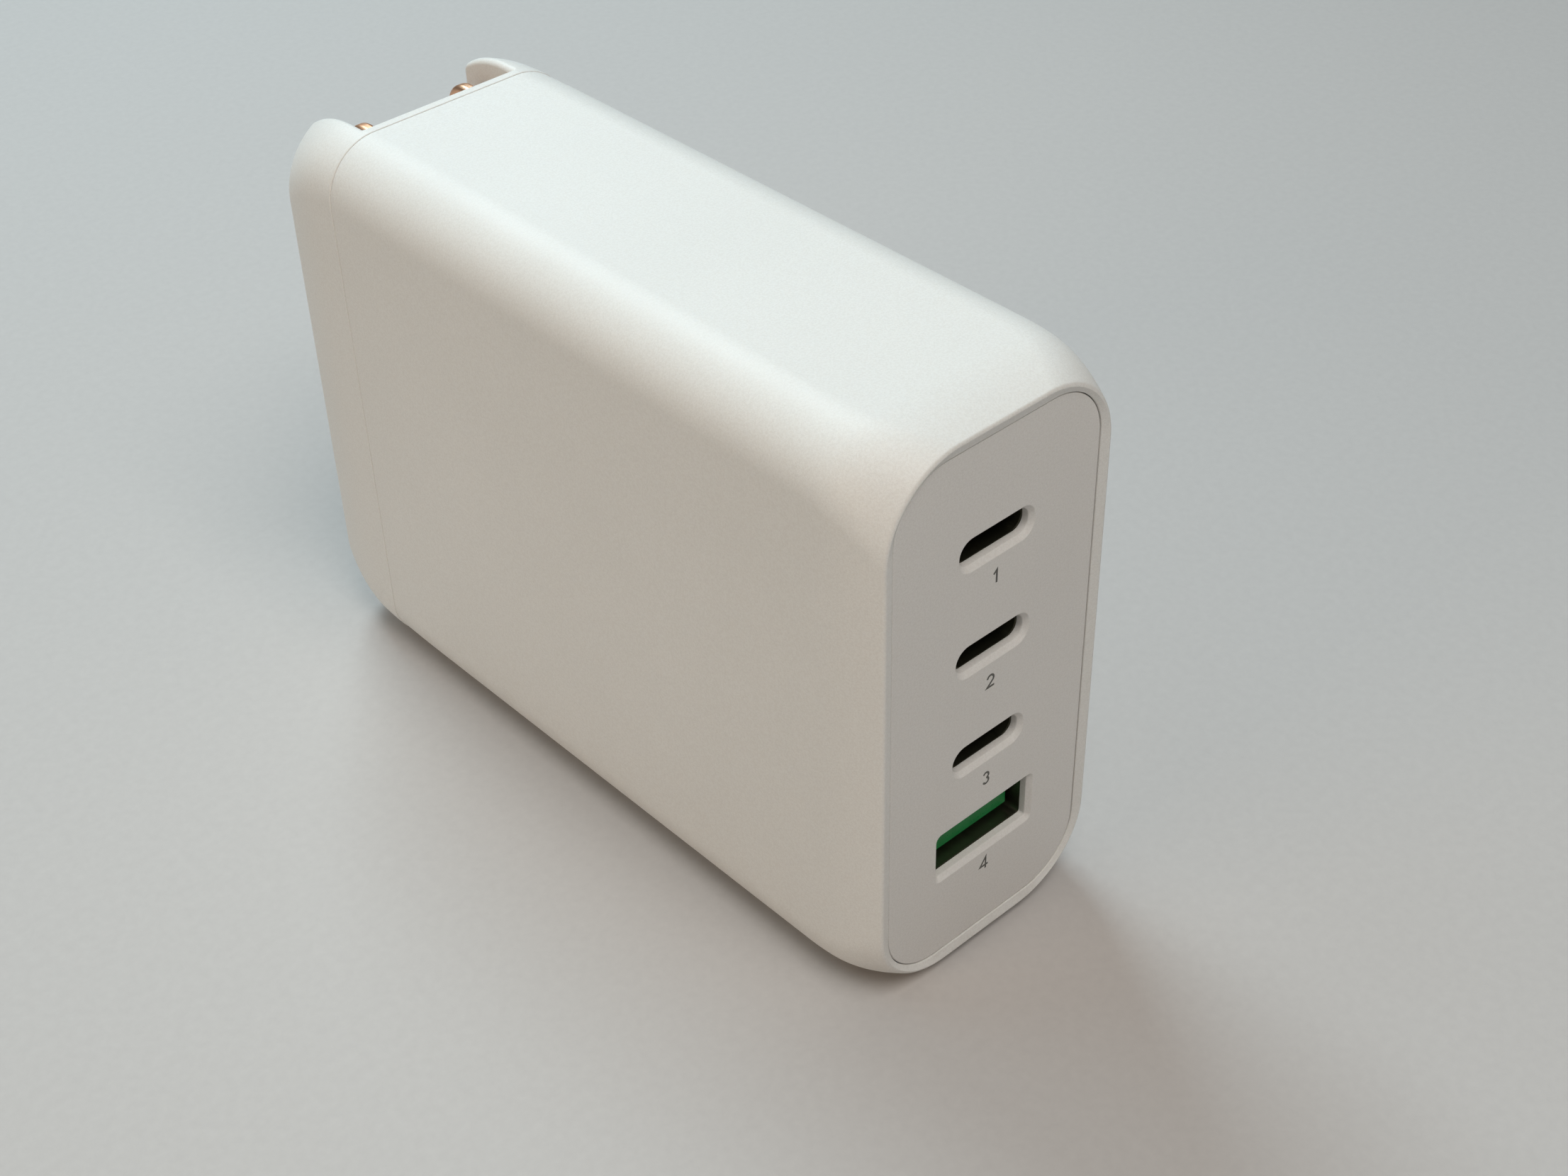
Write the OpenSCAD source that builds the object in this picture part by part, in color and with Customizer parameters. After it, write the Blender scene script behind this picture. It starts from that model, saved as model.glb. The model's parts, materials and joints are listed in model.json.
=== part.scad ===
/* [Body] */
// Width of the body, side to side
body_w = 30.2; // [29.8:0.1:31]
// Length of the body, port face to plug end
body_l = 87.2; // [86.4:0.1:90]
// Height of the body as it stands on its narrow side
body_h = 63; // [62.6:0.1:64]
// Radius of the four long edges
edge_r = 6.2; // [5.6:0.1:6.8]
// Corner radius of the outline at the two ends
end_corner_r = 9.85; // [9:0.05:10.4]
// Distance over which the corner radius eases from end to body
corner_ease = 9.8; // [8:0.1:10]
// How far the sides draw in at the ends
end_inset = 1.15; // [0.6:0.05:1.3]
// Distance over which the sides draw in
end_ease = 6.8; // [5:0.1:8]
// Small round on the end edges
end_round = 0.45; // [0.3:0.05:0.6]
// Wall thickness of sleeve and cap
wall = 1.8; // [1.6:0.1:1.9]

/* [Port panel] */
// Width of the panel opening
panel_w = 25.62; // [25.2:0.02:25.8]
// Height of the panel opening
panel_h = 58.4; // [57.8:0.1:58.6]
// Corner radius of the panel opening
panel_r = 6.5; // [6:0.1:7]
// Depth of the panel face below the rim
panel_recess = 0.35; // [0.2:0.05:0.5]
// Gap all round the panel
panel_gap = 0.1; // [0.06:0.02:0.2]
// Height of the centre of the first small port
c_port_z = 49.15; // [48.6:0.05:49.6]
// Distance between the small ports
c_port_pitch = 11.89; // [11.6:0.01:12.1]
// Width of a small port opening
c_cut_w = 9.5; // [9.3:0.02:9.7]
// Height of a small port opening
c_cut_h = 3.64; // [3.6:0.02:3.8]
// Height of the centre of the large port
a_port_z = 14.83; // [14.5:0.01:15.1]
// Width of the large port opening
a_cut_w = 13.2; // [13.1:0.02:13.4]
// Height of the large port opening
a_cut_h = 6.2; // [6.1:0.02:6.4]
// Bevel round every port opening
port_bevel = 0.45; // [0.3:0.05:0.5]
// Distance from panel face to the socket mouths
mouth_depth = 1.2; // [1.1:0.05:1.4]

/* [Plug end] */
// Distance from the port face to the seam of the rear cap
seam_t = 77.05; // [76.6:0.05:77.3]
// Distance from the port face to the channel floor
floor_t = 78.23; // [78.1:0.01:78.4]
// Width of the adapter channel
channel_w = 18.4; // [18.2:0.1:18.6]
// Height of the lower end of the channel
channel_z = 14; // [12:0.5:18]
// Height of the plug hinge axis
pivot_z = 37.6; // [37:0.1:38]
// Depth of the plug hinge axis behind the channel floor
pivot_d = 4.15; // [4.1:0.01:4.2]
// Distance between the two blades
blade_pitch = 12.7; // [12.6:0.05:12.8]
// Width of a blade
blade_w = 6.35; // [6.2:0.05:6.4]
// Thickness of a blade
blade_t = 1.5; // [1.4:0.05:1.6]
// Length of a blade from the hinge axis to its tip
blade_len = 23.1; // [21.5:0.1:23.3]

/* [Hidden] */
$fn = 72;
W = body_w; L = body_l; H = body_h; HZ = H/2;
NC = 8;                                  // segments in each corner of a lofted ring
in_w = W - 2*wall; in_h = H - 2*wall;    // inner section of the shell
in_r = edge_r - wall;
lip_t = 2.4;                             // depth of the rim that frames the panel
mouth_t = panel_recess + mouth_depth;    // socket mouths
board_t = 13.6;                          // front of the port board
pivot_t = floor_t + pivot_d;
carrier_x = channel_w/2 - 0.4;
barrel_r = pivot_d - 0.4;                // turning barrel of the plug
pcb_x = -12.2;                           // main board back face
pcb_s = 1.2;
comp_x = pcb_x + pcb_s;                  // component side of the main board

// ---- section of the body at a distance u from the nearer end ----
function draw_in(u) = (u < end_round ? end_round - sqrt(max(0, end_round*end_round - (end_round-u)*(end_round-u))) : 0)
                    + (u < end_ease ? end_inset*pow(1 - u/end_ease, 2) : 0);
function corner_at(u) = edge_r + (u < corner_ease ? (end_corner_r - edge_r)*pow(1 - u/corner_ease, 2) : 0);
function ring(t) = let(u = min(t, L - t), s = draw_in(u), r = corner_at(u) - s, w = W/2 - s, h = H/2 - s)
  [for (q = [0:3]) for (k = [0:NC])
     let(a = 90*q + 90*k/NC, cx = (q == 0 || q == 3 ? 1 : -1)*(w - r), cz = (q < 2 ? 1 : -1)*(h - r))
     [cx + r*cos(a), t, HZ + cz + r*sin(a)]];
near_end = [0, 0.06, 0.2, 0.45, 1.2, 2.3, 3.6, 5.1, 6.8, 8.2, 9.8];

// body solid between the stations in ts, outside form only
module loft(ts) {
  m = 4*(NC+1); n = len(ts);
  pts = [for (t = ts) each ring(t)];
  sides = [for (i = [0:n-2]) for (j = [0:m-1]) let(a = i*m+j, b = i*m+(j+1)%m, c = (i+1)*m+(j+1)%m, d = (i+1)*m+j) each [[a, b, c], [a, c, d]]];
  front = [for (j = [m-1:-1:0]) j];
  back = [for (j = [0:m-1]) (n-1)*m + j];
  polyhedron(points = pts, faces = concat(sides, [front], [back]), convexity = 4);
}
// rounded rectangle standing in the width-height plane, from t0 to t1
module slab(w, h, r, t0, t1, z = HZ) {
  translate([0, t1, z]) rotate([90, 0, 0]) linear_extrude(height = t1 - t0) rrect(w, h, r);
}
module rrect(w, h, r) {
  union() {
    square([w - 2*r, h], center = true);
    square([w, h - 2*r], center = true);
    for (x = [-1, 1]) for (y = [-1, 1]) translate([x*(w/2 - r), y*(h/2 - r)]) circle(r = r);
  }
}
// box between two corners, in width, depth, height
module span(x0, x1, t0, t1, z0, z1) { translate([x0, t0, z0]) cube([x1 - x0, t1 - t0, z1 - z0]); }
// cylinder along the width, along the depth
module rod_x(r, x0, x1, t, z) { translate([x0, t, z]) rotate([0, 90, 0]) cylinder(r = r, h = x1 - x0); }
module rod_y(r, t0, t1, x, z) { translate([x, t1, z]) rotate([90, 0, 0]) cylinder(r = r, h = t1 - t0); }
module set_down() { translate([0, -L/2, 0]) children(); }

// ---- casing ----
module housing_sleeve() color([0.93, 0.93, 0.92]) set_down() difference() {
  loft([for (t = near_end) t, for (t = [seam_t - 0.05]) t]);
  slab(panel_w, panel_h, panel_r, -1, lip_t + 0.5);
  slab(in_w, in_h, panel_r, lip_t, 5);
  slab(in_w, in_h, in_r, 4.2, seam_t + 1);
}

// slot with round ends, bevelled at the panel face
module c_cut(z) {
  b = port_bevel; r = c_cut_h/2; c = c_cut_w/2 - r;
  for (x = [-c, c]) {
    rod_y(r - b, panel_recess - 1, 3, x, z);
    translate([x, panel_recess + b, z]) rotate([90, 0, 0]) cylinder(r1 = r - b, r2 = r + 0.1, h = b + 0.1);
  }
  span(-c, c, panel_recess - 1, 3, z - r + b, z + r - b);
  translate([-c, 0, z]) rotate([90, 0, 90]) linear_extrude(height = 2*c)
    polygon([[panel_recess - 0.1, -r - 0.1], [panel_recess + b, b - r], [panel_recess + b, r - b], [panel_recess - 0.1, r + 0.1]]);
}
// rectangular opening, bevelled at the panel face
module a_cut(z) {
  b = port_bevel; p = panel_recess; w = a_cut_w/2; h = a_cut_h/2;
  slab(2*(w - b), 2*(h - b), 0.35, -1, 3, z);
  intersection() {
    translate([-w - 1, 0, z]) rotate([90, 0, 90]) linear_extrude(height = 2*w + 2)
      polygon([[p - 0.1, -h - 0.1], [p + b, b - h], [p + b, h - b], [p - 0.1, h + 0.1]]);
    translate([0, 0, z - h - 1]) linear_extrude(height = 2*h + 2)
      polygon([[-w - 0.1, p - 0.1], [b - w, p + b], [w - b, p + b], [w + 0.1, p - 0.1]]);
  }
}
module port_fascia() color([0.92, 0.92, 0.91]) set_down() difference() {
  union() {
    slab(panel_w - 2*panel_gap, panel_h - 2*panel_gap, panel_r - panel_gap, panel_recess, lip_t + 0.1);
    slab(in_w - 0.2, in_h - 0.2, panel_r - 0.1, lip_t + 0.05, 3.6);
  }
  slab(21, 53.6, 4, mouth_t - 0.05, 5);
  for (k = [0:2]) c_cut(c_port_z - k*c_port_pitch);
  a_cut(a_port_z);
}

module channel_void() { span(-channel_w/2, channel_w/2, floor_t, L + 2, channel_z, H + 2); }
module rear_cap() color([0.93, 0.93, 0.92]) set_down() difference() {
  union() {
    difference() {
      union() {
        loft([for (t = [seam_t + 0.05]) t, for (i = [10:-1:0]) L - near_end[i]]);
        slab(in_w - 0.2, in_h - 0.2, in_r - 0.1, 73.5, seam_t + 1);
      }
      slab(in_w - 3, in_h - 3, in_r - 1.5, 73, 80.5);
      slab(in_w - 3.6, in_h - 3.6, 5.2, 80, L - 2);
    }
    // tub around the channel
    intersection() {
      union() {
        loft([for (t = [seam_t + 0.05]) t, for (i = [10:-1:0]) L - near_end[i]]);
        slab(in_w - 0.2, in_h - 0.2, in_r - 0.1, 73.5, seam_t + 1);
      }
      span(-channel_w/2 - 1.5, channel_w/2 + 1.5, floor_t - 1.6, L + 1, channel_z - 1.5, H + 1);
    }
  }
  channel_void();
  // hinge bores in the channel walls
  rod_x(1.55, channel_w/2 - 1, channel_w/2 + 1.2, pivot_t, pivot_z);
  rod_x(1.55, -channel_w/2 - 1.2, -channel_w/2 + 1, pivot_t, pivot_z);
  // slots for the contact springs and the detent
  for (s = [-1, 1]) span(s*blade_pitch/2 - 1.6, s*blade_pitch/2 + 1.6, floor_t - 3, floor_t + 1, pivot_z - 3, pivot_z + 3);
  span(-1.5, 1.5, floor_t - 3, floor_t + 1, pivot_z - 3, pivot_z + 3);
}

// ---- folding plug ----
tip_r = blade_w/2 - 0.2;                 // rounding of a blade tip
module blade_shape(s) {
  translate([s*blade_pitch/2 - blade_t/2, pivot_t, pivot_z]) rotate([90, 0, 90]) linear_extrude(height = blade_t)
    union() {
      translate([-blade_w/2, -1.1]) square([blade_w, blade_len + 1.1 - tip_r]);
      translate([-0.6, 0.15 - barrel_r]) square([1.2, barrel_r]);
      translate([-blade_w/2 + tip_r, 0]) square([blade_w - 2*tip_r, blade_len]);
      for (x = [-1, 1]) translate([x*(blade_w/2 - tip_r), blade_len - tip_r]) circle(r = tip_r);
    }
}
module plug_carrier() color([0.86, 0.86, 0.85]) set_down() difference() {
  union() {
    rod_x(barrel_r, -carrier_x, carrier_x, pivot_t, pivot_z);
    span(-carrier_x, carrier_x, pivot_t + 0.1 - barrel_r, pivot_t - 0.1 + barrel_r, pivot_z, pivot_z + 4.4);
    rod_x(1.5, -channel_w/2 - 1, channel_w/2 + 1, pivot_t, pivot_z);
  }
  blade_shape(-1);
  blade_shape(1);
}
module blade_left() color([0.83, 0.80, 0.74]) set_down() blade_shape(-1);
module blade_right() color([0.83, 0.80, 0.74]) set_down() blade_shape(1);

module contact_strip(s) {
  x = s*blade_pitch/2;
  union() {
    rod_x(0.9, x - 1.2, x + 1.2, floor_t - 0.7, pivot_z);
    span(x - 1.2, x + 1.2, floor_t - 1.35, floor_t - 0.95, pivot_z - 2.6, pivot_z + 0.4);
    span(x - 1.2, x + 1.2, 71.6, floor_t - 1, pivot_z - 2.9, pivot_z - 2.5);
  }
}
module contact_spring_left() color([0.80, 0.56, 0.30]) set_down() contact_strip(-1);
module contact_spring_right() color([0.80, 0.56, 0.30]) set_down() contact_strip(1);
module detent_spring() color([0.72, 0.73, 0.75]) set_down() union() {
  rod_x(0.8, -1.1, 1.1, floor_t - 0.85, pivot_z);
  span(-1.1, 1.1, floor_t - 1.5, floor_t - 1.1, pivot_z - 2.7, pivot_z + 2.7);
  span(-1.1, 1.1, 74.8, floor_t - 1.3, pivot_z + 2.3, pivot_z + 2.7);
}

// ---- boards ----
module main_board() color([0.12, 0.33, 0.22]) set_down()
  difference() {
    span(pcb_x, comp_x, board_t + 1.2, 72.4, 6, 57);
    for (z = [10, 53]) rod_x(1.1, pcb_x - 1, comp_x + 1, 18.2, z);
  }
module port_board() color([0.12, 0.33, 0.22]) set_down() slab(24.6, 56.4, 2.5, board_t, board_t + 1.2);

// ---- sockets ----
module c_shell(k) color([0.62, 0.62, 0.60]) set_down() difference() {
  slab(8.94, 3.26, 1.62, mouth_t, board_t, c_port_z - k*c_port_pitch);
  slab(8.34, 2.66, 1.32, mouth_t - 1, board_t + 1, c_port_z - k*c_port_pitch);
}
module c_tongue(k) color([0.09, 0.09, 0.10]) set_down() union() {
  z = c_port_z - k*c_port_pitch;
  slab(8.3, 2.62, 1.3, mouth_t + 6.6, board_t, z);
  span(-3.35, 3.35, mouth_t + 5.2, mouth_t + 6.7, z - 0.65, z + 0.65);
  span(-3.35, 3.35, mouth_t + 1.1, mouth_t + 5.3, z - 0.35, z + 0.35);
}
module c_contacts(k) color([0.85, 0.68, 0.30]) set_down() {
  z = c_port_z - k*c_port_pitch;
  for (i = [0:11]) {
    x = (i - 5.5)*0.5;
    span(x - 0.125, x + 0.125, mouth_t + 1.5, mouth_t + 5.2, z + 0.35, z + 0.4);
    span(x - 0.125, x + 0.125, mouth_t + 1.5, mouth_t + 5.2, z - 0.4, z - 0.35);
  }
}
module usb_c_shell_1() c_shell(0);
module usb_c_shell_2() c_shell(1);
module usb_c_shell_3() c_shell(2);
module usb_c_tongue_1() c_tongue(0);
module usb_c_tongue_2() c_tongue(1);
module usb_c_tongue_3() c_tongue(2);
module usb_c_contacts_1() c_contacts(0);
module usb_c_contacts_2() c_contacts(1);
module usb_c_contacts_3() c_contacts(2);

a_tongue_z = a_port_z - 1.9;   // underside of the tongue
module usb_a_shell() color([0.66, 0.66, 0.64]) set_down() difference() {
  slab(13.14, 5.72, 0.8, mouth_t, board_t, a_port_z);
  slab(12.5, 5.12, 0.5, mouth_t - 1, board_t + 1, a_port_z);
}
module usb_a_tongue() color([0.10, 0.55, 0.22]) set_down() union() {
  slab(12.46, 5.08, 0.48, mouth_t + 9, board_t, a_port_z);
  span(-5.55, 5.55, mouth_t + 1.28, mouth_t + 9.1, a_tongue_z, a_tongue_z + 1.84);
}
module usb_a_contacts() color([0.85, 0.68, 0.30]) set_down()
  for (x = [-3.5, -1, 1, 3.5]) span(x - 0.5, x + 0.5, mouth_t + 2, mouth_t + 8.9, a_tongue_z + 1.84, a_tongue_z + 1.94);

// ---- power parts on the main board ----
tr_t = 46; tr_z = 31;
module transformer_core() color([0.22, 0.22, 0.23]) set_down() union() {
  difference() {
    span(-8, 9.5, tr_t - 12, tr_t + 12, tr_z - 9, tr_z + 9);
    span(-4.5, 6, tr_t - 7.5, tr_t + 7.5, tr_z - 10, tr_z + 10);
  }
  rod_x(4.8, -4.6, 6.1, tr_t, tr_z);
}
module transformer_bobbin() color([0.13, 0.13, 0.14]) set_down() difference() {
  union() {
    rod_x(5.8, -4.45, 5.95, tr_t, tr_z);
    for (x = [-4.45, 4.95]) span(x, x + 1, tr_t - 7.4, tr_t + 7.4, tr_z - 11.5, tr_z + 11.5);
    for (z = [tr_z - 11.5, tr_z + 9.1]) span(comp_x, -4, tr_t - 7.4, tr_t + 7.4, z, z + 2.4);
  }
  rod_x(4.9, -5, 7, tr_t, tr_z);
}
module transformer_winding() color([0.90, 0.74, 0.22]) set_down() difference() {
  rod_x(7.3, -3.4, 4.9, tr_t, tr_z);
  rod_x(5.85, -4, 5.5, tr_t, tr_z);
}
ck_t = 60.5; ck_z = 12.4;
module ring_x(r0, r1, x0, x1, a0 = 0, a1 = 360) {
  translate([x0, ck_t, ck_z]) rotate([0, 90, 0]) rotate([0, 0, a0]) rotate_extrude(angle = a1 - a0)
    translate([r0, 0]) square([r1 - r0, x1 - x0]);
}
module choke_core() color([0.16, 0.17, 0.16]) set_down() ring_x(4, 6.6, -8.6, -2.6);
module choke_winding() color([0.72, 0.36, 0.16]) set_down() difference() {
  union() {
    ring_x(3, 7.6, -9.6, -1.6, 15, 165);
    ring_x(3, 7.6, -9.6, -1.6, 195, 345);
    for (y = [-4.9, 4.9]) for (z = [-2.6, 2.6]) rod_x(0.5, comp_x, -9, ck_t + y, ck_z + z);
  }
  ring_x(3.95, 6.65, -8.65, -2.55);
}
// electrolytic can along the depth, with a rolled groove near its rubber end and two bent leads
module can_y(r, t0, t1, x, z) difference() {
  union() {
    rod_y(r, t0, t1, x, z);
    for (d = [-2.5, 2.5]) {
      span(x - 0.3, x + 0.3, t0 - 0.9, t0 + 0.1, z + d - 0.3, z + d + 0.3);
      span(comp_x, x, t0 - 0.9, t0 - 0.3, z + d - 0.3, z + d + 0.3);
    }
  }
  difference() { rod_y(r + 1, t0 + 2, t0 + 2.8, x, z); rod_y(r - 0.35, t0 + 1.5, t0 + 3.3, x, z); }
}
module bulk_capacitor_1() color([0.13, 0.15, 0.20]) set_down() can_y(6.4, 19, 43, -4.3, 49.9);
module bulk_capacitor_2() color([0.13, 0.15, 0.20]) set_down() can_y(6.4, 45, 69, -4.3, 49.9);
module bulk_capacitor_3() color([0.13, 0.15, 0.20]) set_down() can_y(6.4, 23, 47, -4.3, 12.6);
module x_capacitor() color([0.88, 0.76, 0.20]) set_down() span(comp_x, 2.5, 60, 67, 22, 35);
module y_capacitor() color([0.20, 0.42, 0.70]) set_down() union() {
  rod_y(4, 68.6, 71, -4.6, 25);
  span(comp_x, -7, 69.6, 70, 22.4, 22.8);
  span(comp_x, -7, 69.6, 70, 27.2, 27.6);
}
module out_cap(i) color([0.70, 0.70, 0.72]) set_down() rod_x(3.15, comp_x, comp_x + 9, 20.6, 22.6 + i*7.2);
module output_capacitor_1() out_cap(0);
module output_capacitor_2() out_cap(1);
module output_capacitor_3() out_cap(2);
module fuse() color([0.55, 0.25, 0.15]) set_down() union() {
  translate([-8.6, 62.6, 37.4]) cylinder(r = 1.8, h = 4.6);
  for (z = [37.8, 41.2]) span(comp_x, -8.6, 62.4, 62.8, z, z + 0.4);
}
module bridge_rectifier() color([0.10, 0.10, 0.11]) set_down() union() {
  span(-9.6, 4, 48.2, 51.6, 6.1, 19.2);
  for (z = [8, 11.2, 14.4, 17.6]) span(comp_x, -9.5, 49.6, 50.1, z - 0.4, z + 0.4);
}
module switch_chip() color([0.11, 0.11, 0.12]) set_down() span(comp_x, comp_x + 0.9, 25.5, 32, 20.5, 27.5);
module sync_rectifier_chip() color([0.11, 0.11, 0.12]) set_down() span(comp_x, comp_x + 1, 25.5, 31, 32.5, 38);
module controller_chip() color([0.11, 0.11, 0.12]) set_down() span(comp_x, comp_x + 1.5, 28, 33, 29, 31.5);
module opto_coupler() color([0.85, 0.85, 0.84]) set_down() span(comp_x, comp_x + 2.2, 25.5, 29.5, 39.4, 42.4);
module out_ind(k) color([0.30, 0.30, 0.31]) set_down() span(-1, 5.6, board_t + 1.2, board_t + 4.2, c_port_z - k*c_port_pitch - 3.3, c_port_z - k*c_port_pitch + 3.3);
module output_inductor_1() out_ind(0);
module output_inductor_2() out_ind(1);
module output_inductor_3() out_ind(2);

// ---- heat and insulation ----
module heat_spreader() color([0.75, 0.76, 0.77]) set_down() difference() {
  span(5, 12.6, 18, 70, 5.6, 57.4);
  span(4, 12, 17, 71, 6.4, 56.6);
}
module thermal_pad() color([0.62, 0.64, 0.72]) set_down() span(9.5, 12, tr_t - 11, tr_t + 11, tr_z - 8, tr_z + 8);
module insulating_film() color([0.82, 0.80, 0.70]) set_down() difference() {
  slab(in_w - 0.3, in_h - 0.3, in_r - 0.15, 15.2, 73.2);
  slab(in_w - 0.8, in_h - 0.8, in_r - 0.4, 14, 74);
}
// insulated lead from a contact strip to the main board: forward, down, then across
module ac_lead(s, z, t, drop) set_down() union() {
  x = s*blade_pitch/2;
  rod_y(0.75, t, 72, x, z);
  translate([x, t, z]) sphere(r = 0.75);
  translate([x, t, z - drop]) cylinder(r = 0.75, h = drop);
  translate([x, t, z - drop]) sphere(r = 0.75);
  rod_x(0.75, comp_x, x, t, z - drop);
}
module ac_lead_live() color([0.45, 0.25, 0.14]) ac_lead(1, pivot_z - 3.67, 69.6, 2.6);
module ac_lead_neutral() color([0.16, 0.30, 0.62]) ac_lead(-1, pivot_z - 3.67, 67.9, 0.4);

housing_sleeve();
port_fascia();
rear_cap();
plug_carrier();
blade_left();
blade_right();
contact_spring_left();
contact_spring_right();
detent_spring();
main_board();
port_board();
usb_c_shell_1();
usb_c_shell_2();
usb_c_shell_3();
usb_c_tongue_1();
usb_c_tongue_2();
usb_c_tongue_3();
usb_c_contacts_1();
usb_c_contacts_2();
usb_c_contacts_3();
usb_a_shell();
usb_a_tongue();
usb_a_contacts();
transformer_core();
transformer_bobbin();
transformer_winding();
choke_core();
choke_winding();
bulk_capacitor_1();
bulk_capacitor_2();
bulk_capacitor_3();
x_capacitor();
y_capacitor();
output_capacitor_1();
output_capacitor_2();
output_capacitor_3();
fuse();
bridge_rectifier();
switch_chip();
sync_rectifier_chip();
controller_chip();
opto_coupler();
output_inductor_1();
output_inductor_2();
output_inductor_3();
heat_spreader();
thermal_pad();
insulating_film();
ac_lead_live();
ac_lead_neutral();
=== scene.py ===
"""Travel charger: smooth skins, bevelled socket panel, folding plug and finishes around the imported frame."""
import json
import math

import bmesh
import bpy
from mathutils import Matrix, Vector


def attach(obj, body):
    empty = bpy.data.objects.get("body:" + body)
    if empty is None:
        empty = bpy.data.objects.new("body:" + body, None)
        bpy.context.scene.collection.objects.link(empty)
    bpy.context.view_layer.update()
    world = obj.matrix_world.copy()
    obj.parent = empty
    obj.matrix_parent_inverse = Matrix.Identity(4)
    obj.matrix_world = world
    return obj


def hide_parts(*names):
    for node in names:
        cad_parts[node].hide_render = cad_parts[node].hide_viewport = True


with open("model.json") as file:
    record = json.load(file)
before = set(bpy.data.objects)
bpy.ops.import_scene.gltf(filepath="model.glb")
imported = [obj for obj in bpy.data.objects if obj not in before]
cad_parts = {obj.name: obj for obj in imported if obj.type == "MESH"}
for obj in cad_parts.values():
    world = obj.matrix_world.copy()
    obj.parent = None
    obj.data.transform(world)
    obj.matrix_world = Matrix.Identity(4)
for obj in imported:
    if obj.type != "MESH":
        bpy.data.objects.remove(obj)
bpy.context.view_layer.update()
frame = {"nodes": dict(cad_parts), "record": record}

MM = 0.001
L, HZ = 87.2, 31.5                     # body length, mid height, in mm
SEAM, FLOOR = 77.05, 78.23             # rear seam and channel floor, from the port face
HALF_W, HALF_H, EDGE_R = 15.1, 31.5, 6.2
CH_A, CH_Z, LIP = 9.2, 14.0, 0.6       # channel half width, lower end, mouth rounding
PIV_T, PIV_Z = 82.38, 37.6
PANEL = 0.35                           # panel face below the rim


def pt(x, t, z):
    """A point from width, distance behind the port face and height, in mm."""
    return (x * MM, (t - L / 2) * MM, z * MM)


# ------------------------------------------------------------------ materials
def value(node, name, v):
    node.inputs[name].default_value = v


class Tree:
    """A small helper around one material's nodes."""

    def __init__(self, name, rough=0.5, metal=0.0, spec=0.5, coat=0.0, sss=0.0):
        self.m = bpy.data.materials.new(name)
        self.m.use_nodes = True
        self.n = self.m.node_tree.nodes
        self.l = self.m.node_tree.links
        self.p = self.n["Principled BSDF"]
        value(self.p, "Roughness", rough)
        value(self.p, "Metallic", metal)
        value(self.p, "Specular IOR Level", spec)
        if coat:
            value(self.p, "Coat Weight", coat)
            value(self.p, "Coat Roughness", 0.25)
        if sss:
            value(self.p, "Subsurface Weight", sss)
            value(self.p, "Subsurface Radius", (1.0, 0.8, 0.6))
            value(self.p, "Subsurface Scale", 0.0006)
        self.co = self.n.new("ShaderNodeTexCoord").outputs["Object"]

    def mapped(self, scale=(1, 1, 1), rot=(0, 0, 0)):
        m = self.n.new("ShaderNodeMapping")
        value(m, "Scale", scale)
        value(m, "Rotation", rot)
        self.l.new(self.co, m.inputs["Vector"])
        return m.outputs["Vector"]

    def noise(self, scale, detail=2.0, rough=0.5, vec=None, distort=0.0):
        t = self.n.new("ShaderNodeTexNoise")
        value(t, "Scale", scale)
        value(t, "Detail", detail)
        value(t, "Roughness", rough)
        value(t, "Distortion", distort)
        self.l.new(vec or self.co, t.inputs["Vector"])
        return t.outputs["Fac"]

    def voronoi(self, scale, vec=None, feature="F1"):
        t = self.n.new("ShaderNodeTexVoronoi")
        t.feature = feature
        value(t, "Scale", scale)
        self.l.new(vec or self.co, t.inputs["Vector"])
        return t.outputs["Distance"]

    def ramp(self, fac, stops, mode="LINEAR"):
        r = self.n.new("ShaderNodeValToRGB")
        r.color_ramp.interpolation = mode
        e = r.color_ramp.elements
        while len(e) < len(stops):
            e.new(0.5)
        for k, (p, c) in enumerate(stops):
            e[k].position = p
            e[k].color = (*c, 1) if len(c) == 3 else c
        self.l.new(fac, r.inputs["Fac"])
        return r.outputs["Color"]

    def rng(self, fac, lo, hi, a=0.0, b=1.0):
        r = self.n.new("ShaderNodeMapRange")
        r.clamp = True
        for i, v in zip(("From Min", "From Max", "To Min", "To Max"), (a, b, lo, hi)):
            value(r, i, v)
        self.l.new(fac, r.inputs["Value"])
        return r.outputs["Result"]

    def math(self, op, a, b=None, clamp=False):
        m = self.n.new("ShaderNodeMath")
        m.operation = op
        m.use_clamp = clamp
        for k, v in enumerate((a, b)):
            if v is None:
                continue
            if isinstance(v, (int, float)):
                m.inputs[k].default_value = v
            else:
                self.l.new(v, m.inputs[k])
        return m.outputs["Value"]

    def mix(self, fac, a, b, blend="MIX"):
        m = self.n.new("ShaderNodeMix")
        m.data_type = "RGBA"
        m.blend_type = blend
        for sock, v in ((m.inputs[0], fac), (m.inputs[6], a), (m.inputs[7], b)):
            if isinstance(v, (int, float)):
                sock.default_value = v
            elif isinstance(v, tuple):
                sock.default_value = (*v, 1)
            else:
                self.l.new(v, sock)
        return m.outputs[2]

    def xyz(self):
        s = self.n.new("ShaderNodeSeparateXYZ")
        self.l.new(self.co, s.inputs[0])
        return s.outputs

    def bump(self, height, strength, dist, base=None):
        b = self.n.new("ShaderNodeBump")
        value(b, "Strength", strength)
        value(b, "Distance", dist)
        self.l.new(height, b.inputs["Height"])
        if base is not None:
            self.l.new(base, b.inputs["Normal"])
        return b.outputs["Normal"]

    def done(self, colour=None, rough=None, normal=None):
        if colour is not None:
            self.l.new(colour, self.p.inputs["Base Color"])
        if rough is not None:
            self.l.new(rough, self.p.inputs["Roughness"])
        if normal is not None:
            self.l.new(normal, self.p.inputs["Normal"])
        return self.m


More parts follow.
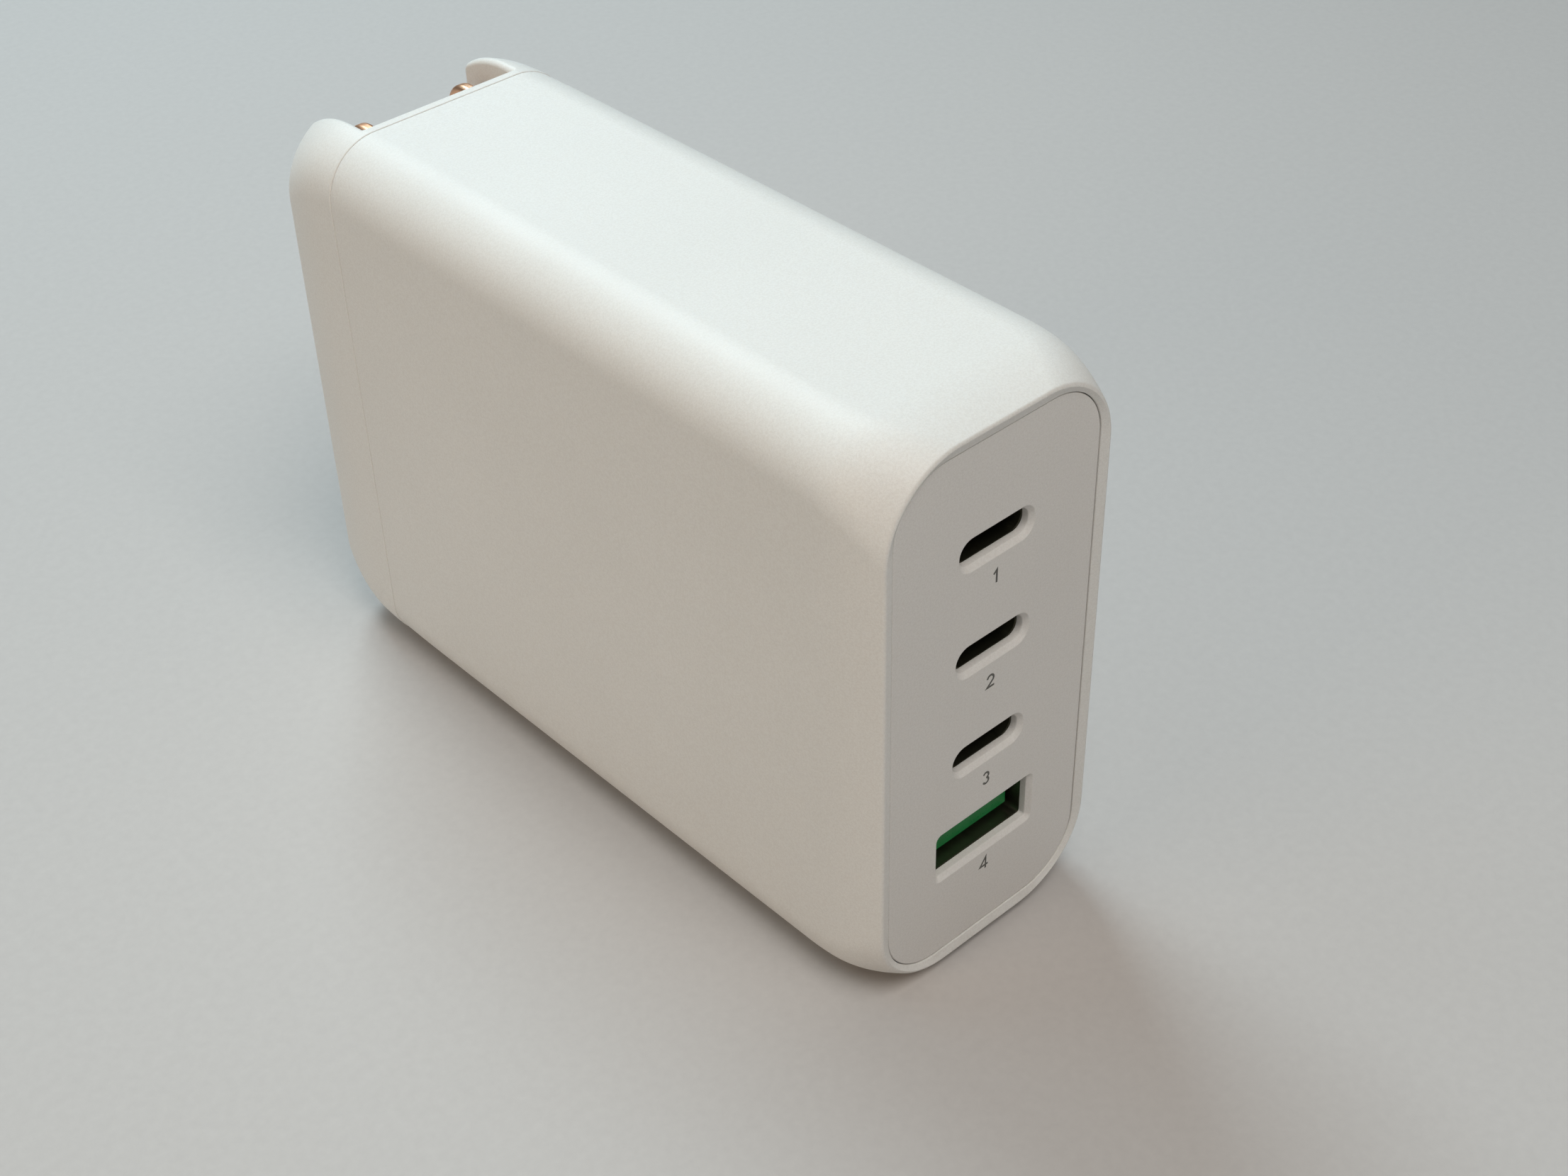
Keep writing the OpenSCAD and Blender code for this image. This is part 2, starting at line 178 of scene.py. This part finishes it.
def moulded(name, base, tint, rough=0.5, grain=0.012, bottom_shade=0.0):
    """Spark-textured moulded plastic: fine grain, faint mottling, soft sheen and patchy painted shade darkening it
    towards the bottom, near the floor.
    """
    t = Tree(name, rough=rough, spec=0.42, sss=0.08)
    t.p.inputs["Subsurface Weight"].default_value = 0.06
    fine = t.noise(11000, 2.0, 0.6)
    mid = t.noise(4600, 2.0, 0.55)
    cloud = t.noise(38, 3.0, 0.55)
    tone = t.mix(t.rng(cloud, 0, 1, 0.3, 0.7), base, tint)
    tone = t.mix(t.rng(mid, 0.17, 0.0, 0.36, 0.62), tone, tuple(c * f for c, f in zip(base, (0.66, 0.60, 0.56))))
    tone = t.mix(t.rng(fine, 0.14, 0.0, 0.32, 0.60), tone, tuple(c * 0.55 for c in base))
    speck = t.rng(t.noise(2600, 1.0, 0.5), 0, 1, 0.70, 0.78)
    tone = t.mix(t.math("MULTIPLY", speck, 0.14), tone, tuple(c * 0.72 for c in base))
    # painted shade: a patchy darkening over the lowest 9 mm, standing in for the shade next to the floor
    if bottom_shade:
        z = t.xyz()[2]
        low = t.rng(z, 1, 0, 0.0005, 0.009)
        shade_mask = t.math("MULTIPLY", t.rng(t.noise(420, 4.0, 0.6), 0, 1, 0.42, 0.68), low)
        tone = t.mix(t.math("MULTIPLY", shade_mask, bottom_shade), tone, (0.52, 0.49, 0.44))
    r = t.rng(t.math("ADD", t.math("MULTIPLY", mid, 0.6), t.math("MULTIPLY", cloud, 0.4)), rough - 0.06, rough + 0.08, 0.3, 0.7)
    height = t.math("ADD", t.math("MULTIPLY", fine, 0.7), t.math("MULTIPLY", mid, 0.5))
    return t.done(tone, r, t.bump(height, 0.55, grain * MM))


def metal(name, base, tint, rough=0.25, along="z", streak=0.5):
    """Drawn or stamped metal with fine lengthwise lines and faint staining."""
    t = Tree(name, rough=rough, metal=1.0)
    s = {"x": (0.06, 1, 1), "y": (1, 0.06, 1), "z": (1, 1, 0.06)}[along]
    lines = t.noise(9000, 2.0, 0.6, t.mapped(s))
    stain = t.noise(260, 4.0, 0.6)
    tone = t.mix(t.rng(stain, 0, 0.8, 0.35, 0.7), base, tint)
    tone = t.mix(t.rng(lines, 0, 0.25 * streak, 0.4, 0.8), tone, tuple(c * 0.6 for c in base))
    r = t.rng(t.math("ADD", t.math("MULTIPLY", lines, 0.6), t.math("MULTIPLY", stain, 0.4)), rough - 0.08, rough + 0.12, 0.3, 0.7)
    return t.done(tone, r, t.bump(lines, 0.25 * streak, 0.004 * MM))


def plain(name, base, tint, rough=0.5, scale=600, bump=0.01, coat=0.0, spec=0.5):
    """Moulded, painted or coated parts inside: two tones, fine grain and uneven sheen."""
    t = Tree(name, rough=rough, coat=coat, spec=spec)
    a = t.noise(scale, 4.0, 0.55)
    b = t.noise(scale * 7, 2.0, 0.6)
    tone = t.mix(t.rng(a, 0, 1, 0.35, 0.65), base, tint)
    r = t.rng(b, max(0.05, rough - 0.08), min(1.0, rough + 0.1), 0.3, 0.7)
    return t.done(tone, r, t.bump(t.math("ADD", a, b), 0.3, bump * MM))


def board(name):
    """Solder-masked circuit board with faint tracks and solder-coloured pads."""
    t = Tree(name, rough=0.35, coat=0.3)
    fill = t.noise(900, 3.0, 0.5)
    cells = t.voronoi(700, feature="DISTANCE_TO_EDGE")
    track = t.rng(cells, 1, 0, 0.03, 0.06)
    tone = t.mix(t.rng(fill, 0, 1, 0.35, 0.65), (0.012, 0.10, 0.045), (0.02, 0.14, 0.065))
    tone = t.mix(t.math("MULTIPLY", track, 0.5), tone, (0.05, 0.24, 0.10))
    pads = t.rng(t.voronoi(320), 1, 0, 0.10, 0.13)
    tone = t.mix(t.math("MULTIPLY", pads, 0.7), tone, (0.55, 0.55, 0.52))
    return t.done(tone, t.rng(fill, 0.28, 0.42, 0.3, 0.7), t.bump(t.math("ADD", track, pads), 0.3, 0.02 * MM))


def wound(name, base, tint, scale, axis="x", rough=0.3, metallic=0.0):
    """Wound wire or tape: rounded turns side by side with slight unevenness, and painted shade in the grooves between
    the turns.
    """
    t = Tree(name, rough=rough, metal=metallic, coat=0.2)
    w = t.n.new("ShaderNodeTexWave")
    w.wave_type = "BANDS"
    w.bands_direction = {"x": "X", "y": "Y", "z": "Z"}[axis]
    value(w, "Scale", scale)
    value(w, "Distortion", 0.6)
    value(w, "Detail", 1.0)
    t.l.new(t.co, w.inputs["Vector"])
    tone = t.mix(t.rng(t.noise(500, 3.0), 0, 1, 0.35, 0.65), base, tint)
    # painted shade: darkens the grooves between the turns
    tone = t.mix(t.rng(w.outputs["Fac"], 0.55, 0.0, 0.0, 0.4), tone, tuple(c * 0.35 for c in base))
    return t.done(tone, t.rng(t.noise(3000, 2.0), rough - 0.06, rough + 0.1, 0.3, 0.7), t.bump(w.outputs["Fac"], 0.6, 0.06 * MM))


M = {
    # the casing's last argument sets the painted shade towards the bottom
    "casing": moulded("moulded_white", (0.830, 0.815, 0.785), (0.800, 0.787, 0.757), 0.50, 0.022, 0.25),
    "panel": moulded("moulded_panel", (0.800, 0.775, 0.745), (0.772, 0.748, 0.720), 0.48, 0.018),
    "carrier": moulded("moulded_carrier", (0.74, 0.725, 0.70), (0.70, 0.69, 0.665), 0.42, 0.008),
    "blade": metal("plug_blade_metal", (0.88, 0.52, 0.33), (0.78, 0.41, 0.24), 0.36, "z", 0.7),
    "spring": metal("spring_bronze", (0.76, 0.50, 0.27), (0.62, 0.37, 0.18), 0.30, "y"),
    "spring_steel": metal("spring_steel", (0.62, 0.63, 0.65), (0.50, 0.50, 0.51), 0.28, "z"),
    "board": board("circuit_board"),
    # painted shade: the socket shells' steel is darkened to olive-black to stand for the shade deep inside the ports
    "socket_steel": metal("socket_steel", (0.190, 0.185, 0.130), (0.120, 0.120, 0.085), 0.40, "y", 1.0),
    "black_plastic": plain("black_moulding", (0.012, 0.012, 0.014), (0.020, 0.020, 0.022), 0.42, 900),
    "green_plastic": plain("green_moulding", (0.012, 0.250, 0.062), (0.018, 0.290, 0.078), 0.34, 700, 0.006),
    "gold": metal("gold_contact", (0.90, 0.66, 0.26), (0.78, 0.52, 0.18), 0.22, "y"),
    "ferrite": plain("ferrite", (0.030, 0.030, 0.033), (0.055, 0.055, 0.058), 0.55, 1400, 0.03),
    "copper": wound("copper_turns", (0.62, 0.24, 0.09), (0.50, 0.17, 0.06), 240, "y", 0.28, 0.8),
    "winding_tape": wound("yellow_tape", (0.78, 0.55, 0.06), (0.72, 0.48, 0.05), 60, "x", 0.35),
    "can_sleeve": plain("can_sleeve", (0.010, 0.018, 0.045), (0.018, 0.026, 0.060), 0.30, 500, 0.006, 0.3),
    "can_bare": metal("can_bare", (0.74, 0.74, 0.76), (0.62, 0.62, 0.64), 0.30, "x", 0.4),
    "yellow_film": plain("yellow_box", (0.75, 0.52, 0.04), (0.69, 0.47, 0.035), 0.38, 700, 0.015),
    "blue_coat": plain("blue_coating", (0.020, 0.085, 0.36), (0.028, 0.11, 0.42), 0.25, 500, 0.02, 0.4),
    "glass_tube": plain("sleeved_tube", (0.20, 0.065, 0.03), (0.26, 0.09, 0.045), 0.25, 600, 0.01, 0.5),
    "chip": plain("chip_body", (0.018, 0.018, 0.020), (0.028, 0.028, 0.030), 0.62, 2600, 0.02),
    "white_chip": plain("white_chip", (0.68, 0.68, 0.64), (0.62, 0.62, 0.58), 0.5, 2200, 0.015),
    "inductor": plain("inductor_block", (0.050, 0.050, 0.054), (0.085, 0.085, 0.088), 0.6, 3000, 0.03),
    "spreader": metal("heat_spreader_sheet", (0.80, 0.81, 0.82), (0.68, 0.69, 0.70), 0.30, "z"),
    "pad": plain("thermal_pad", (0.23, 0.26, 0.36), (0.27, 0.30, 0.41), 0.75, 1600, 0.03),
    "film": plain("insulating_film", (0.52, 0.48, 0.30), (0.46, 0.42, 0.26), 0.28, 300, 0.01, 0.2),
    "lead_live": plain("brown_lead", (0.075, 0.026, 0.012), (0.10, 0.036, 0.018), 0.4, 900),
    "lead_neutral": plain("blue_lead", (0.012, 0.045, 0.26), (0.018, 0.06, 0.32), 0.4, 900),
}
for name, ob in frame["nodes"].items():
    slot = next(s["material_slot"] for s in frame["record"]["subparts"] if s["node"] == name)
    ob.data.materials.clear() if not ob.data.materials else None
    if not ob.data.materials:
        ob.data.materials.append(M[slot])
    for s in ob.material_slots:
        s.link = "OBJECT"
        s.material = M[slot]


# --------------------------------------------------------------------- meshes
def arc(cx, cz, r, a0, a1, n):
    return [(cx + r * math.cos(math.radians(a0 + (a1 - a0) * k / n)), cz + r * math.sin(math.radians(a0 + (a1 - a0) * k / n))) for k in range(n + 1)]


def finish_mesh(bm, name, body, mat, nodes=(), sharp=32.0, bevel=None, recalc=True):
    if recalc:
        bmesh.ops.recalc_face_normals(bm, faces=bm.faces)
    me = bpy.data.meshes.new(name)
    bm.to_mesh(me)
    bm.free()
    ob = bpy.data.objects.new(name, me)
    bpy.context.scene.collection.objects.link(ob)
    me.materials.append(mat)
    for p in me.polygons:
        p.use_smooth = True
    if bevel:
        b = ob.modifiers.new("edge", "BEVEL")
        b.width = bevel * MM
        b.segments = 4
        b.limit_method = "ANGLE"
        b.angle_limit = math.radians(50)
        b.use_clamp_overlap = True
    me.set_sharp_from_angle(angle=math.radians(sharp))
    w = ob.modifiers.new("normals", "WEIGHTED_NORMAL")
    w.mode = "FACE_AREA"
    w.weight = 50
    w.keep_sharp = True
    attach(ob, body)
    if nodes:
        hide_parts(*nodes)
    return ob


def fil(u, r):
    """How far a quarter-round edge of radius r is drawn in at distance u from the end."""
    return r - math.sqrt(max(0.0, r * r - (r - u) ** 2)) if u < r else 0.0


def draw_in(u, rf):
    return fil(u, rf) + (1.15 * (1 - u / 6.87) ** 2 if u < 6.87 else 0.0)


def corner(u):
    return EDGE_R + (3.65 * (1 - u / 9.8) ** 2 if u < 9.8 else 0.0)


NT, NA, NB, NF = 8, 18, 24, 7


def outer_chain(w, h, r, phi, zc=HZ):
    """Right shoulder point, down the right side, round the bottom and up to the left shoulder point."""
    cx, ct, cb = w - r, zc + h - r, zc - h + r
    right = arc(cx, ct, r, phi, 0, NA) + arc(cx, cb, r, 0, -90, NB)
    return right + [(-x, z) for x, z in reversed(right)]


def top_chain(w, h, r, phi, zc=HZ):
    """Left shoulder to right shoulder over the top, without the two shoulder points."""
    cx, ct = w - r, zc + h - r
    right = arc(cx, ct, r, 90, phi, NT)[:-1]
    return [(-x, z) for x, z in reversed(right)] + right


def ring(bm, pts, t):
    return [bm.verts.new(pt(x, t, z)) for x, z in pts]


def skin(bm, a, b):
    n = len(a)
    for i in range(n):
        j = (i + 1) % n
        bm.faces.new((a[i], a[j], b[j], b[i]))


def full(w, h, r, phi=60.0, zc=HZ):
    return outer_chain(w, h, r, phi, zc) + top_chain(w, h, r, phi, zc)


def body_full(t, rf, phi=60.0, rear=False, extra=0.0):
    u = L - t if rear else t
    s = draw_in(u, rf) + extra
    return full(HALF_W - s, HALF_H - s, corner(u) - s, phi)


def stations(rf, upto):
    out = [rf * (1 - math.cos(math.radians(90 * k / 8))) for k in range(9)]
    n = 26
    out += [rf + (upto - rf) * (k / n) ** 1.25 for k in range(1, n + 1)]
    return out


# sleeve ----------------------------------------------------------------
PW, PH, PR, PZ = 12.82, 29.19, 6.5, 31.48      # panel opening
bm = bmesh.new()
rings = []
for u in stations(0.24, 9.8):
    rings.append(ring(bm, body_full(u, 0.24), u))
for t, d in ((20.0, 0), (35.0, 0), (50.0, 0), (64.0, 0), (SEAM - 7.0, 0), (SEAM - 4.0, 0.02), (SEAM - 2.0, 0.05), (SEAM - 0.6, 0.08)):
    rings.append(ring(bm, full(HALF_W - d, HALF_H - d, EDGE_R - d), t))
SE = SEAM + 0.005
for k in range(0, 6):                          # rounded seam edge
    a = math.radians(18 * k)
    d = 0.085 + 0.04 * (1 - math.cos(a))
    rings.append(ring(bm, full(HALF_W - d, HALF_H - d, EDGE_R - d), SE - 0.04 + 0.04 * math.sin(a)))
rings.append(ring(bm, full(13.3, 29.7, 4.4), SE))
rings.append(ring(bm, full(13.3, 29.7, 4.4), 5.4))
rings.append(ring(bm, full(13.3, 29.7, 6.5), 5.0))
rings.append(ring(bm, full(13.3, 29.7, 6.5), 2.4))
rings.append(ring(bm, full(PW, PH, PR, zc=PZ), 2.4))
for k in range(0, 5):                          # small round, then the rim slopes out to the front edge
    a = math.radians(17.5 * k)
    d = 0.10 * (1 - math.cos(a))
    rings.append(ring(bm, full(PW + d, PH + d, PR + d, zc=PZ), 0.36 - 0.10 * math.sin(a)))
for a, b in zip(rings, rings[1:] + rings[:1]):
    skin(bm, a, b)
sleeve = finish_mesh(bm, "sleeve_skin", "charger", M["casing"], ["housing_sleeve"])
for e in sleeve.data.edges:                    # keep the flat front rim flat in the shading
    if all(sleeve.data.vertices[v].co.y < (-L / 2 + 0.0003) * MM for v in e.vertices):
        e.use_edge_sharp = True

# rear cap --------------------------------------------------------------
bm = bmesh.new()


def shoulder(w, r, a, zc_top):
    """Centre height and end angle of the round between the channel wall and the outer corner arc."""
    cx = w - r
    dx = a + LIP - cx
    dz = math.sqrt((r - LIP) ** 2 - dx * dx)
    return zc_top + dz, math.degrees(math.atan2(dz, dx))


def cap_section(t, extra=0.0):
    u = L - t
    s = draw_in(u, 0.52) + extra
    w, h, r = HALF_W - s, HALF_H - s, corner(u) - s
    e = fil(u, LIP)
    a = CH_A + e
    fz, phi = shoulder(w, r, a, HZ + h - r)
    return w, h, r, a, CH_Z - e, fz, phi


def seam_dip(t):
    """The cap stands a hair proud of the sleeve at the seam."""
    return 0.01


inner = [ring(bm, full(11.8, 28.2, 2.9), 76.6), ring(bm, full(11.8, 28.2, 2.9), 73.5), ring(bm, full(13.2, 29.6, 4.3), 73.5), ring(bm, full(13.2, 29.6, 4.3), SEAM + 0.02)]
bm.faces.new(inner[0])
chain = list(inner)
t0 = SEAM + 0.02
ts = [t0 + 0.11 * (1 - math.cos(math.radians(22.5 * k))) for k in range(5)]
for k, t in enumerate(ts):
    d = 0.11 * (1 - math.sin(math.radians(22.5 * k))) + seam_dip(t)
    w, h, r, a, zb, fz, phi = cap_section(t, d)
    chain.append(ring(bm, outer_chain(w, h, r, phi) + top_chain(w, h, r, phi), t))
FE = 0.32                                      # round along the top edge of the channel floor
mid = [77.45, 77.7, FLOOR - FE]
edge = [FLOOR - FE + FE * math.sin(math.radians(18 * k)) for k in range(1, 6)]
for t in mid + edge:
    w, h, r, a, zb, fz, phi = cap_section(t, seam_dip(t))
    d = fil(FLOOR - t, FE)
    top = []
    for x, z in top_chain(w, h, r, phi):
        k = min(1.0, max(0.0, (9.70 - abs(x)) / 0.55))
        top.append((x, z - d * k * k * (3 - 2 * k)))
    chain.append(ring(bm, outer_chain(w, h, r, phi) + top, t))
for a, b in zip(chain, chain[1:]):
    skin(bm, a, b)


def slot_chain(a, zb, fz, phi):
    right = arc(a - 0.8, zb + 0.8, 0.8, -90, 0, 5) + arc(a + LIP, fz, LIP, 180, phi, NF)[:-1]
    return [(-x, z) for x, z in reversed(right)] + right


last = chain[-1]
n_out = len(outer_chain(10, 20, 3, 60))
w, h, r, a, zb, fz, phi = cap_section(FLOOR, seam_dip(FLOOR))
slot0 = ring(bm, slot_chain(a, zb, fz, phi), FLOOR)
outer0, top0 = last[:n_out], last[n_out:]
bm.faces.new([outer0[-1]] + slot0 + [outer0[0]] + list(reversed(top0)))
prev = outer0 + slot0
us = [L - FLOOR - (L - FLOOR - 0.6) * (k / 22) ** 0.9 for k in range(1, 23)]
us += [LIP * (1 - math.sin(math.radians(11.25 * k))) for k in range(1, 9)]
for u in us:
    t = L - u
    w, h, r, a, zb, fz, phi = cap_section(t, seam_dip(t))
    now = ring(bm, outer_chain(w, h, r, phi) + slot_chain(a, zb, fz, phi), t)
    skin(bm, prev, now)
    prev = now
bm.faces.new(prev)
finish_mesh(bm, "rear_cap_skin", "charger", M["casing"], ["rear_cap"])


# port panel --------------------------------------------------------------
def rr(w, h, r, zc, n=6):
    pts = []
    for q, (sx, sz) in enumerate(((1, 1), (-1, 1), (-1, -1), (1, -1))):
        pts += arc(sx * (w - r), zc + sz * (h - r), r, 90 * q, 90 * q + 90, n)
    return pts


PORTS = [(49.15, 4.30, 1.37, 1.20), (37.26, 4.30, 1.37, 1.20), (25.37, 4.30, 1.37, 1.20), (14.83, 6.14, 2.64, 0.30)]
BEV = 0.46
bm = bmesh.new()
GAP = 0.07
ow, oh, orr = PW - GAP, PH - GAP, PR - GAP


def loop_edges(vs):
    out = []
    for i in range(len(vs)):
        a, b = vs[i], vs[(i + 1) % len(vs)]
        out.append(bm.edges.get((a, b)) or bm.edges.new((a, b)))
    return out


plate = []
for k in range(5):
    a = math.radians(22.5 * k)
    d = 0.15 * (1 - math.sin(a))
    plate.append(ring(bm, rr(ow - d, oh - d, orr - d, PZ, 14), PANEL + 0.15 * (1 - math.cos(a))))
plate.append(ring(bm, rr(ow, oh, orr, PZ, 14), 2.42))
plate.append(ring(bm, rr(13.2, 29.6, 6.4, HZ, 14), 2.42))
plate.append(ring(bm, rr(13.2, 29.6, 6.4, HZ, 14), 3.6))
plate.append(ring(bm, rr(10.5, 26.8, 4.0, HZ, 14), 3.6))
plate.append(ring(bm, rr(10.5, 26.8, 4.0, HZ, 14), 1.5))
for a, b in zip(plate, plate[1:]):
    skin(bm, a, b)
front_edges, back_edges = loop_edges(plate[0]), loop_edges(plate[-1])
tn = math.tan(math.radians(22.5))
for zc, w, h, r in PORTS:
    prof = []
    ra, rb = 0.14, 0.14                        # rounds at the face and where the bevel meets the wall
    for k in range(5):                         # face to bevel, centre above the face
        a = math.radians(11.25 * k)
        prof.append((BEV + ra * tn - ra * math.sin(a), ra * (1 - math.cos(a))))
    for k in range(5):                         # bevel to wall
        a = math.radians(45 + 11.25 * k)
        prof.append((rb * (1 - math.sin(a)), BEV + rb * tn - rb * math.cos(a)))
    prof.append((0.0, 1.15))
    loops = [ring(bm, rr(w + d, h + d, r + d, zc, 9), PANEL + p) for d, p in prof]
    for a, b in zip(loops, loops[1:]):
        skin(bm, a, b)
    front_edges += loop_edges(loops[0])
    back_edges += loop_edges(loops[-1])
bmesh.ops.triangle_fill(bm, use_beauty=True, use_dissolve=False, edges=front_edges, normal=(0, -1, 0))
bmesh.ops.triangle_fill(bm, use_beauty=True, use_dissolve=False, edges=back_edges, normal=(0, 1, 0))
finish_mesh(bm, "port_panel", "charger", M["panel"], ["port_fascia"])

# printed numerals ---------------------------------------------------------
ink = plain("printed_ink", (0.085, 0.080, 0.072), (0.125, 0.118, 0.105), 0.55, 2600, 0.004)
GLYPHS = {                                     # pen strokes, one unit high
    1: [[(0.08, 0.76), (0.34, 1.0), (0.34, 0.0)]],
    2: [arc(0.33, 0.70, 0.30, 165, -38, 12) + [(0.02, 0.0), (0.66, 0.0)]],
    3: [arc(0.32, 0.75, 0.25, 150, -65, 12) + arc(0.32, 0.25, 0.26, 65, -150, 14)],
    4: [[(0.52, 0.0), (0.52, 1.0), (0.0, 0.27), (0.393, 0.27)], [(0.647, 0.27), (0.70, 0.27)]],
}


def stroke(bm, pts, half, t0, t1, lim=0.35):
    """A flat pen stroke of even width along the points, mitred at its bends."""
    left, right = [], []
    for i, (x, z) in enumerate(pts):
        a = Vector(pts[max(0, i - 1)])
        c = Vector(pts[min(len(pts) - 1, i + 1)])
        b = Vector((x, z))
        d0 = (b - a).normalized() if i else (c - b).normalized()
        d1 = (c - b).normalized() if i < len(pts) - 1 else d0
        n = Vector((-(d0 + d1).y, (d0 + d1).x)).normalized()
        k = half / max(lim, n.dot(Vector((-d0.y, d0.x))))
        end = d0 * half * 0.6 * ((i == len(pts) - 1) - (i == 0))
        left.append(b + end + n * k)
        right.append(b + end - n * k)
    for t in (t0, t1):
        v = [bm.verts.new(pt(p.x, t, p.y)) for p in left + right[::-1]]
        m = len(left)
        for i in range(m - 1):
            f = (v[i], v[i + 1], v[2 * m - 2 - i], v[2 * m - 1 - i])
            bm.faces.new(f if t == t0 else f[::-1])
        if t == t0:
            first = v
        else:
            for i in range(2 * m):
                j = (i + 1) % (2 * m)
                bm.faces.new((first[j], first[i], v[i], v[j]))


for k, (zc, x, high) in enumerate(((45.20, -0.1, 1.34), (33.31, -0.1, 1.34), (21.42, -0.1, 1.34), (10.11, 0.1, 1.44))):
    bm = bmesh.new()
    for line in GLYPHS[k + 1]:
        w = 0.34 if k else 0.21
        stroke(bm, [(x + (u - w) * high, zc + (v - 0.5) * high) for u, v in line], 0.115, PANEL - 0.006, PANEL + 0.02, 0.75 if k == 2 else 0.35)
    ob = finish_mesh(bm, f"numeral_{k + 1}", "charger", ink, sharp=30)


# folding plug -------------------------------------------------------------
def prism_x(name, profile, x0, x1, body, mat, nodes=(), bevel=0.2, extra=()):
    """A profile in depth and height, run along the width."""
    bm = bmesh.new()
    for prof, a, b in [(profile, x0, x1)] + list(extra):
        r0 = [bm.verts.new(pt(a, t, z)) for t, z in prof]
        r1 = [bm.verts.new(pt(b, t, z)) for t, z in prof]
        skin(bm, r0, r1)
        bm.faces.new(r0)
        bm.faces.new(r1)
    return finish_mesh(bm, name, body, mat, nodes, bevel=bevel, sharp=40)


BR = 3.75
th = math.degrees(math.asin(math.sqrt(BR * BR - 3.65 ** 2) / BR))
prof = arc(PIV_T, PIV_Z, BR, th, -180 - th, 60)
prof += arc(PIV_T - 3.65 + 0.5, PIV_Z + 3.9, 0.5, 180, 90, 6) + arc(PIV_T + 3.65 - 0.5, PIV_Z + 3.9, 0.5, 90, 0, 6)
pin = arc(PIV_T, PIV_Z, 1.5, 0, 360, 32)[:-1]
prism_x("plug_barrel", prof, -8.8, 8.8, "plug", M["carrier"], ["plug_carrier"], bevel=0.28, extra=[(pin, -10.15, -8.6), (pin, 8.6, 10.15)])
HB, TIP, TR = 3.175, 23.1, 2.975               # blade half width, length from the hinge, tip rounding
for name, s in (("blade_left", -1), ("blade_right", 1)):
    prof = arc(PIV_T + HB - TR, PIV_Z + TIP - TR, TR, 0, 90, 20) + arc(PIV_T - HB + TR, PIV_Z + TIP - TR, TR, 90, 180, 20)
    prof += [(PIV_T - HB, PIV_Z - 1.1), (PIV_T + HB, PIV_Z - 1.1)]
    prism_x(name + "_plate", prof, s * 6.35 - 0.75, s * 6.35 + 0.75, "plug", M["blade"], [name], bevel=0.5)

# ---------------------------------------------------------------- surroundings
t = Tree("floor_paper", rough=0.75, spec=0.3)
f = t.noise(900, 4.0, 0.6)
t.done(t.mix(t.rng(f, 0, 1, 0.3, 0.7), (0.55, 0.525, 0.510), (0.525, 0.50, 0.487)), t.rng(f, 0.68, 0.82), t.bump(f, 0.2, 0.00003))
bm = bmesh.new()
bmesh.ops.create_grid(bm, x_segments=1, y_segments=1, size=3.0)
me = bpy.data.meshes.new("floor")
bm.to_mesh(me)
bm.free()
me.materials.append(t.m)
floor = bpy.data.objects.new("floor", me)
floor.location = (0, 0, -0.00002)
bpy.context.scene.collection.objects.link(floor)

sc = bpy.context.scene
world = bpy.data.worlds.new("studio")
sc.world = world
world.use_nodes = True
bg = world.node_tree.nodes["Background"]
bg.inputs[0].default_value = (1.0, 0.97, 0.93, 1)
bg.inputs[1].default_value = 0.12


def softbox(name, loc, aim, size, power, colour, size_y=None):
    la = bpy.data.lights.new(name, "AREA")
    la.shape = "RECTANGLE"
    la.size = size
    la.size_y = size_y or size
    la.energy = power
    la.color = colour
    ob = bpy.data.objects.new(name, la)
    ob.location = loc
    d = Vector(aim) - Vector(loc)
    ob.rotation_euler = d.to_track_quat("-Z", "Y").to_euler()
    sc.collection.objects.link(ob)


softbox("key_front_high", (-0.08, -0.30, 0.57), (-0.02, -0.04, 0.05), 0.30, 1.90, (1.0, 0.965, 0.91))
softbox("key_behind", (0.10, 0.34, 0.46), (0, 0.02, 0.05), 0.24, 1.94, (0.74, 0.925, 1.0))
softbox("key_left_behind", (-0.30, 0.45, 0.60), (0, 0.0, 0.03), 0.45, 0.8, (0.66, 0.89, 1.0))
softbox("fill_left", (-0.55, 0.05, 0.22), (-0.02, -0.01, 0.03), 0.26, 0.64, (1.0, 0.77, 0.54))

cam = bpy.data.cameras.new("camera")
cam.sensor_width = 36.0
cam.sensor_fit = "HORIZONTAL"
cam.lens = 3268.0 / 2212.0 * 36.0
cam.clip_start = 0.01
cob = bpy.data.objects.new("camera", cam)
right = Vector((0.7336343, -0.6792375, -0.0204222))
down = Vector((-0.4337543, -0.4449342, -0.7835118))
ahead = Vector((0.5231040, 0.5836694, -0.6210412))
rot = Matrix((right, -down, -ahead)).transposed().to_4x4()
cob.matrix_world = Matrix.Translation((-0.118814, -0.14827, 0.169264)) @ rot
sc.collection.objects.link(cob)
sc.camera = cob
sc.view_settings.view_transform = "Standard"
sc.view_settings.look = "None"

bpy.context.view_layer.update()
